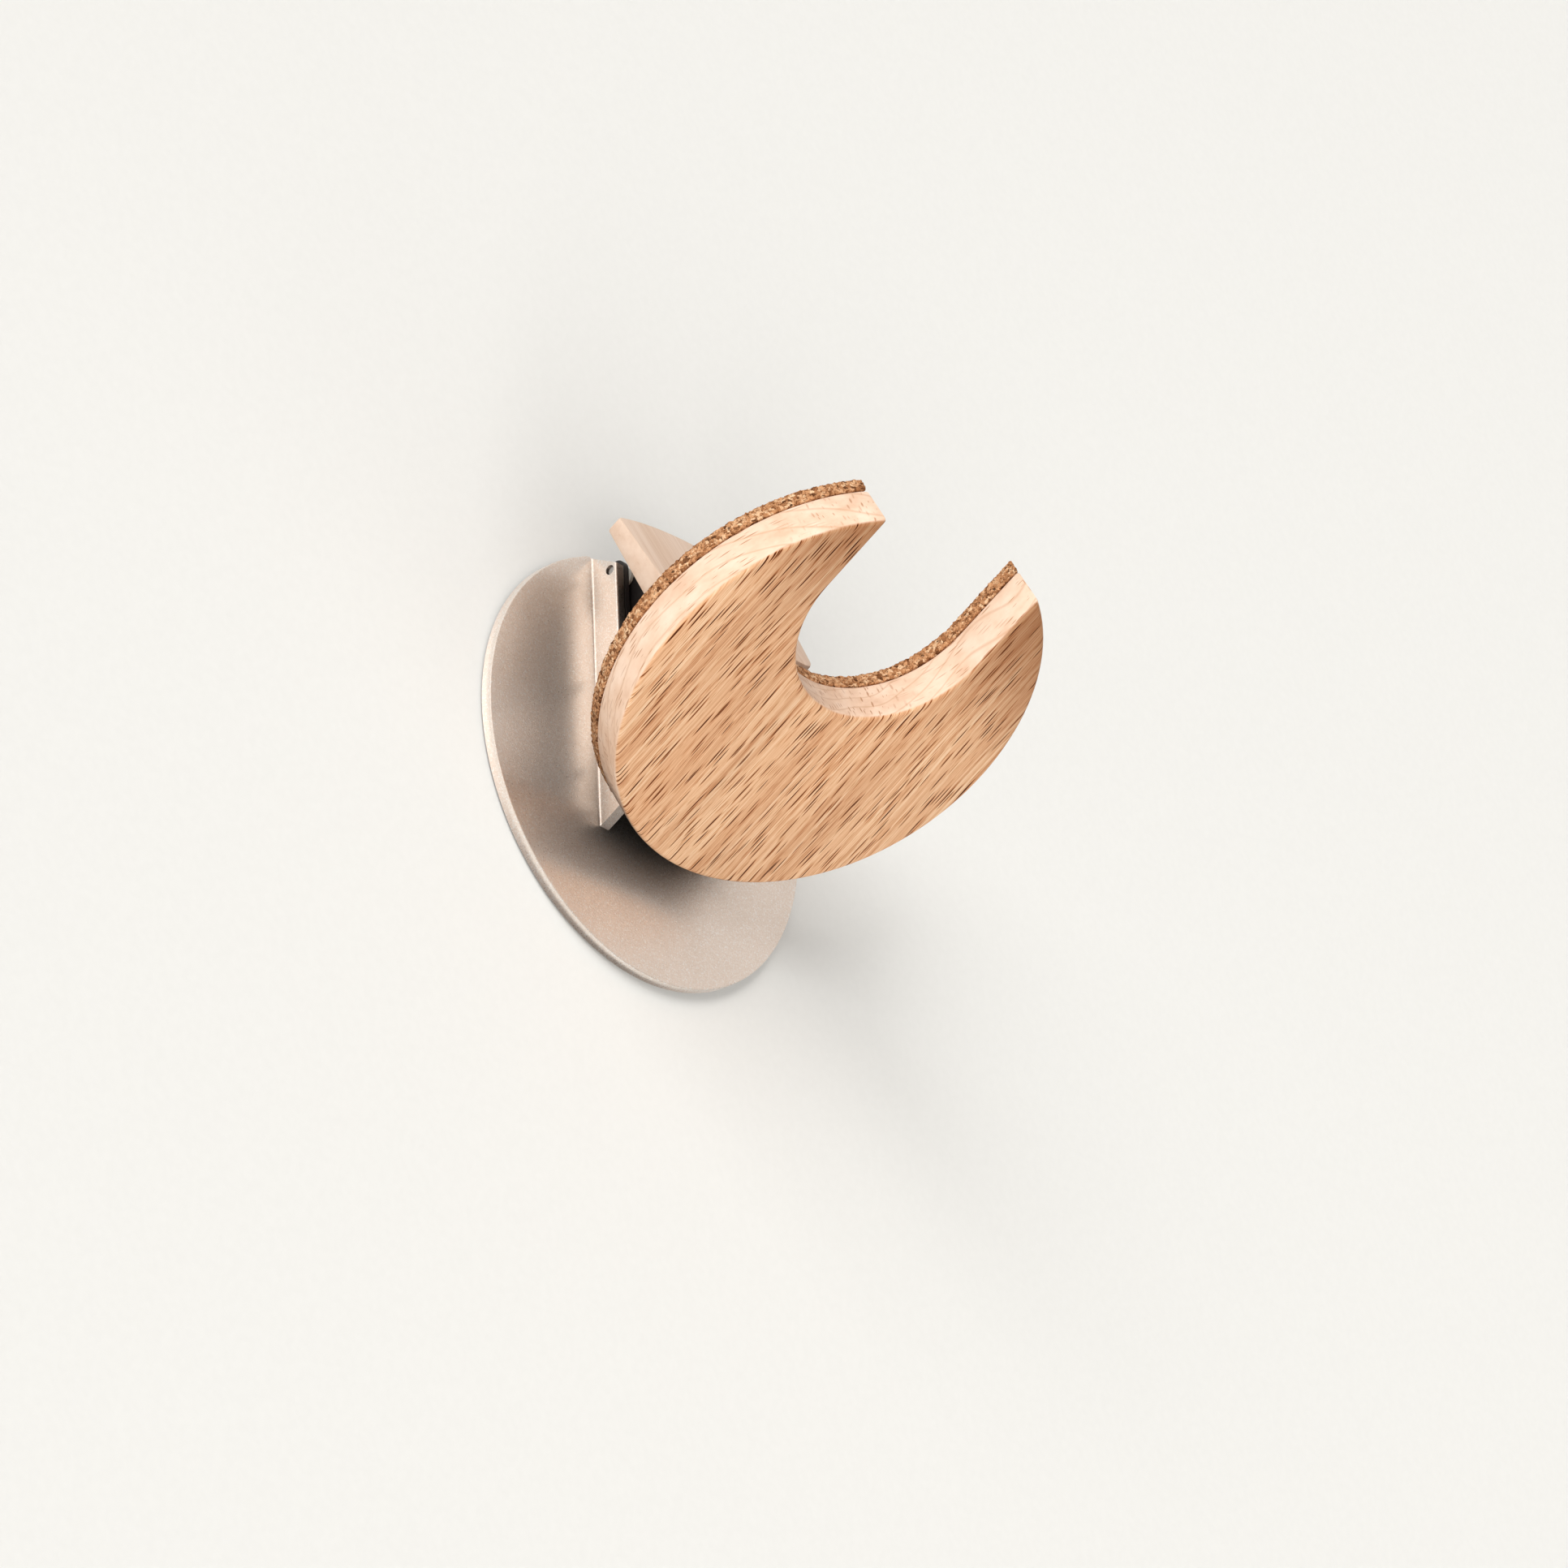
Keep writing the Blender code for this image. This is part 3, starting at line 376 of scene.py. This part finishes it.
def blasted_aluminium():
    """Bead-blasted aluminium with a soft sparkle, and shade painted on its front where other pieces are
    close.
    """
    finish, tree, shader = new_material("aluminium_blasted")
    place = place_mm(tree)
    beads = cells(tree, place, (0.3, 0.3, 0.3))
    chance = height_along(tree, beads.outputs["Color"], "X")
    grain = noise(tree, place, (0.5, 0.5, 0.5), 3.0, 0.65)
    cloud = noise(tree, place, (22.0, 22.0, 22.0), 3.0, 0.6)
    color = ramp(tree, chance, [(0.0, (0.87, 0.770, 0.690)), (0.8, (0.93, 0.850, 0.785)),
                                (1.0, (0.99, 0.975, 0.955))])
    tint = ramp(tree, cloud, [(0.3, (0.96, 0.95, 0.94)), (0.7, (1.02, 1.02, 1.02))])
    color = blend_colors(tree, 1.0, color, tint, "MULTIPLY")
    # Painted shade: the front's colour darkens where other pieces stand close, read from an ambient
    # occlusion node
    openness = node(tree, "AmbientOcclusion", {"samples": 8}, {"Distance": PAINTED_SHADE_REACH}).outputs["AO"]
    painted_shade = ramp(tree, openness, [(0.2, (0.06, 0.045, 0.035)), (0.62, (1.0, 1.0, 1.0))])
    normal = node(tree, "TexCoord", {}, {}).outputs["Normal"]
    front = remap(tree, height_along(tree, normal, "Y"), -0.9, -0.5, 1.0, 0.0)
    color = blend_colors(tree, front, color, blend_colors(tree, 1.0, color, painted_shade, "MULTIPLY"))
    feed(tree, shader.inputs["Base Color"], color)
    shader.inputs["Metallic"].default_value = 0.88
    feed(tree, shader.inputs["Roughness"], remap(tree, grain, 0.2, 0.8, 0.25, 0.36))
    bump(tree, shader, maths(tree, "ADD", grain, product(tree, chance, 0.4)), 0.00006, 0.5)
    return finish


def powder_coat():
    """Black powder coat, finely pebbled."""
    finish, tree, shader = new_material("powder_coat_black")
    place = place_mm(tree)
    pebbles = noise(tree, place, (0.35, 0.35, 0.35), 2.0, 0.6)
    color = ramp(tree, pebbles, [(0.3, (0.012, 0.010, 0.010)), (0.7, (0.026, 0.022, 0.022))])
    feed(tree, shader.inputs["Base Color"], color)
    feed(tree, shader.inputs["Roughness"], remap(tree, pebbles, 0.2, 0.8, 0.42, 0.58))
    bump(tree, shader, pebbles, 0.00005, 0.5)
    return finish


def metal(name, dark, light, rough):
    """Plain metal of one colour range, with fine turning marks."""
    finish, tree, shader = new_material(name)
    place = place_mm(tree)
    marks = noise(tree, place, (0.25, 0.9, 0.25), 3.0, 0.6)
    feed(tree, shader.inputs["Base Color"], ramp(tree, marks, [(0.3, dark), (0.7, light)]))
    shader.inputs["Metallic"].default_value = 1.0
    feed(tree, shader.inputs["Roughness"], remap(tree, marks, 0.2, 0.8, rough, rough + 0.14))
    bump(tree, shader, marks, 0.00002, 0.3)
    return finish


def moulded(name, dark, light, rough):
    """Moulded plastic with a fine matt grain."""
    finish, tree, shader = new_material(name)
    place = place_mm(tree)
    grain = noise(tree, place, (0.3, 0.3, 0.3), 3.0, 0.6)
    feed(tree, shader.inputs["Base Color"], ramp(tree, grain, [(0.3, dark), (0.7, light)]))
    feed(tree, shader.inputs["Roughness"], remap(tree, grain, 0.2, 0.8, rough, rough + 0.1))
    bump(tree, shader, grain, 0.00004, 0.4)
    return finish


def soften(item, width):
    """Give a CAD piece smooth shading, with edges rounded to a width or left sharp."""
    mesh = item.data
    if "custom_normal" in mesh.attributes:
        mesh.attributes.remove(mesh.attributes["custom_normal"])
    mesh.polygons.foreach_set("use_smooth", [True] * len(mesh.polygons))
    weld = item.modifiers.new("weld", "WELD")
    weld.merge_threshold = WELD
    if width:
        merge = item.modifiers.new("whole_faces", "DECIMATE")
        merge.decimate_type = "DISSOLVE"
        merge.angle_limit = FLAT_ANGLE
        bevel = item.modifiers.new("soft_edges", "BEVEL")
        bevel.width = width
        bevel.segments = 2
        bevel.limit_method = "ANGLE"
        bevel.angle_limit = EDGE_ANGLE
        normals = item.modifiers.new("even_normals", "WEIGHTED_NORMAL")
        normals.keep_sharp = False
    else:
        split = item.modifiers.new("sharp_edges", "EDGE_SPLIT")
        split.split_angle = SHARP_ANGLE


def dress(names, finish, width=0.0):
    """Give the named CAD nodes a finish, and edges rounded to a width."""
    for name in names:
        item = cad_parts[name]
        item.data.materials.clear()
        item.data.materials.append(finish)
        soften(item, width)


def starting(prefix):
    """Names of the CAD nodes that start with a prefix."""
    return sorted(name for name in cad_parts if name.startswith(prefix))


def cork_piece():
    """The cork pad with its surface broken into granules, down onto the wood."""
    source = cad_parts["cork_pad"].data
    shell = bmesh.new()
    shell.from_mesh(source)
    bmesh.ops.remove_doubles(shell, verts=shell.verts, dist=WELD)
    heights = [(vert.co - FACE_CENTER).dot(UPWARD) for vert in shell.verts]
    middle = (min(heights) + max(heights)) / 2
    for vert, height in zip(shell.verts, heights):
        if height < middle:
            vert.co -= UPWARD * CORK_SINK
    mesh = bpy.data.meshes.new("cork_sheet")
    shell.to_mesh(mesh)
    shell.free()
    piece = bpy.data.objects.new("cork_sheet", mesh)
    bpy.context.scene.collection.objects.link(piece)
    remesh = piece.modifiers.new("fine", "REMESH")
    remesh.mode = "VOXEL"
    remesh.voxel_size = CORK_STEP
    remesh.use_smooth_shade = True
    for label, kind, size, depth in (("granules", "VORONOI", 0.0009, 0.0004),
                                     ("crumbs", "CLOUDS", 0.0005, 0.0003)):
        texture = bpy.data.textures.new(label, kind)
        texture.noise_scale = size
        step = piece.modifiers.new(label, "DISPLACE")
        step.texture = texture
        step.texture_coords = "LOCAL"
        step.strength = depth
        step.mid_level = 0.6
    piece.data.materials.append(cork())
    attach(piece, "cradle")
    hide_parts("cork_pad")


def plane(name, corners):
    """One flat face that isn't part of the object."""
    mesh = bpy.data.meshes.new(name)
    mesh.from_pydata(corners, [], [tuple(range(len(corners)))])
    item = bpy.data.objects.new(name, mesh)
    bpy.context.scene.collection.objects.link(item)
    return item


def wall_paint():
    """Warm white wall paint, see-through from behind and right behind the plate, to show its back."""
    finish, tree, shader = new_material("wall_paint")
    place = place_mm(tree)
    roller = noise(tree, place, (2.0, 2.0, 2.0), 3.0)
    feed(tree, shader.inputs["Base Color"], ramp(tree, roller, [(0.3, (0.80, 0.79, 0.765)),
                                                                 (0.7, (0.815, 0.805, 0.78))]))
    shader.inputs["Roughness"].default_value = 0.9
    bump(tree, shader, roller, 0.00005, 0.2)
    back = node(tree, "NewGeometry", {}, {}).outputs["Backfacing"]
    reach = node(tree, "LightPath", {}, {}).outputs["Ray Length"]
    touching = maths(tree, "LESS_THAN", reach, TOUCHING)
    clear = node(tree, "BsdfTransparent", {}, {}).outputs["BSDF"]
    hidden = maths(tree, "MAXIMUM", back, touching)
    mix = node(tree, "MixShader", {}, {0: hidden, 1: shader.outputs["BSDF"], 2: clear})
    tree.links.new(mix.outputs["Shader"], tree.nodes["Material Output"].inputs["Surface"])
    return finish


def floor_paint():
    """Pale, faintly clouded floor."""
    finish, tree, shader = new_material("floor_pale")
    place = place_mm(tree)
    cloud = noise(tree, place, (300.0, 300.0, 300.0), 3.0)
    feed(tree, shader.inputs["Base Color"], ramp(tree, cloud, [(0.3, (0.76, 0.75, 0.73)),
                                                                (0.7, (0.80, 0.79, 0.77))]))
    shader.inputs["Roughness"].default_value = 0.8
    return finish


def make_room():
    """The wall that the plate hangs on, and a floor far below that casts no shadow."""
    half = ROOM_SIZE / 2
    low = FLOOR_HEIGHT
    wall = plane("wall", [(-half, WALL_PLACE, low), (half, WALL_PLACE, low),
                          (half, WALL_PLACE, half), (-half, WALL_PLACE, half)])
    wall.data.materials.append(wall_paint())
    floor = plane("floor", [(-half, -half, low), (half, -half, low),
                            (half, WALL_PLACE, low), (-half, WALL_PLACE, low)])
    floor.data.materials.append(floor_paint())
    floor.visible_glossy = False
    floor.visible_shadow = False


def make_world():
    """Weak even daylight, and for first reflections a warmer room, brighter at left, darker below."""
    world = bpy.data.worlds.new("studio")
    bpy.context.scene.world = world
    world.use_nodes = True
    tree = world.node_tree
    shader = tree.nodes["Background"]
    direction = node(tree, "TexCoord", {}, {}).outputs["Generated"]
    upward = height_along(tree, direction, "Z")
    room = ramp(tree, remap(tree, upward, -0.7, 0.5), [(0.0, (0.14, 0.115, 0.10)),
                                                        (0.4, (0.52, 0.47, 0.43)),
                                                        (1.0, (0.75, 0.69, 0.64))])
    leftward = height_along(tree, direction, "X")
    window = remap(tree, leftward, -0.75, 0.3, 2.0, 1.0)
    lit = {0: room, "Scale": window}
    room = node(tree, "VectorMath", {"operation": "SCALE"}, lit).outputs["Vector"]
    path = node(tree, "LightPath", {}, {})
    direct = maths(tree, "LESS_THAN", path.outputs["Diffuse Depth"], 0.5)
    glossy = product(tree, path.outputs["Is Glossy Ray"], direct)
    feed(tree, shader.inputs["Color"], blend_colors(tree, glossy, (0.20, 0.20, 0.20), room))
    shader.inputs["Strength"].default_value = 1.0


def sun(name, direction, spread, strength, color):
    """Soft light from a direction, given as the way back towards it, that metal doesn't reflect."""
    lamp = bpy.data.lights.new(name, "SUN")
    lamp.angle = math.radians(spread)
    lamp.energy = strength
    lamp.color = color
    item = bpy.data.objects.new(name, lamp)
    bpy.context.scene.collection.objects.link(item)
    item.visible_glossy = False
    item.rotation_euler = Vector(direction).to_track_quat("Z", "Y").to_euler()


def make_lights():
    """A broad key light from the upper left, and a weaker one from below the object."""
    sun("key", (-0.70, -0.65, 0.38), spread=45.0, strength=2.75, color=(1.0, 1.0, 0.985))
    sun("fill_low", (-0.36, -0.70, -0.70), spread=44.0, strength=1.45, color=(1.0, 0.99, 0.975))


def make_camera():
    """The camera, turned by its azimuth, pitch and roll from a level look along +Y."""
    camera = bpy.data.objects.new("camera", bpy.data.cameras.new("camera"))
    bpy.context.scene.collection.objects.link(camera)
    camera.data.lens = LENS
    camera.data.sensor_width = SENSOR
    camera.data.clip_start = 0.01
    azimuth, pitch = CAMERA_AZIMUTH, CAMERA_PITCH
    forward = Vector((math.sin(azimuth) * math.cos(pitch), math.cos(azimuth) * math.cos(pitch),
                      math.sin(pitch)))
    level = Vector((math.cos(azimuth), -math.sin(azimuth), 0.0))
    upright = level.cross(forward)
    right = math.cos(CAMERA_ROLL) * level + math.sin(CAMERA_ROLL) * upright
    up = math.cos(CAMERA_ROLL) * upright - math.sin(CAMERA_ROLL) * level
    turn = Matrix((right, up, -forward)).transposed().to_4x4()
    camera.matrix_world = Matrix.Translation(CAMERA_PLACE) @ turn
    bpy.context.scene.camera = camera


def dress_nodes():
    """Give every CAD node but the cork its finish."""
    black = powder_coat()
    dress(["wall_plate"], blasted_aluminium(), PLATE_EDGE)
    dress(["wall_bracket", "cradle_bracket"], black, BRACKET_EDGE)
    dress(["yoke"], oak())
    wood = beech()
    dress(["back_board"], wood)
    dress(starting("board_dowel"), wood)
    pins = metal("ground_steel", (0.42, 0.41, 0.40), (0.62, 0.61, 0.59), 0.25)
    dress(starting("bracket_pin") + ["hinge_pin"], pins)
    dress(starting("hinge_bush"), metal("bronze", (0.36, 0.20, 0.08), (0.56, 0.35, 0.15), 0.3))
    dress(starting("pin_clip"), metal("spring_steel", (0.12, 0.11, 0.11), (0.24, 0.23, 0.22), 0.35))
    dress(starting("yoke_insert"), metal("brass", (0.58, 0.40, 0.15), (0.76, 0.56, 0.24), 0.3))
    zinc = metal("bright_zinc", (0.50, 0.50, 0.51), (0.70, 0.70, 0.70), 0.28)
    dress(starting("yoke_screw_washer"), zinc)
    oxide = metal("black_oxide", (0.022, 0.020, 0.020), (0.055, 0.050, 0.048), 0.32)
    dress([name for name in starting("yoke_screw_") if "washer" not in name], oxide)
    dress(starting("board_screw"), oxide)
    nylon = moulded("nylon", (0.62, 0.60, 0.55), (0.74, 0.72, 0.67), 0.42)
    dress(starting("thrust_washer"), nylon)


dress_nodes()
cork_piece()
make_room()
make_world()
make_lights()
make_camera()
bpy.context.scene.view_settings.view_transform = "Standard"
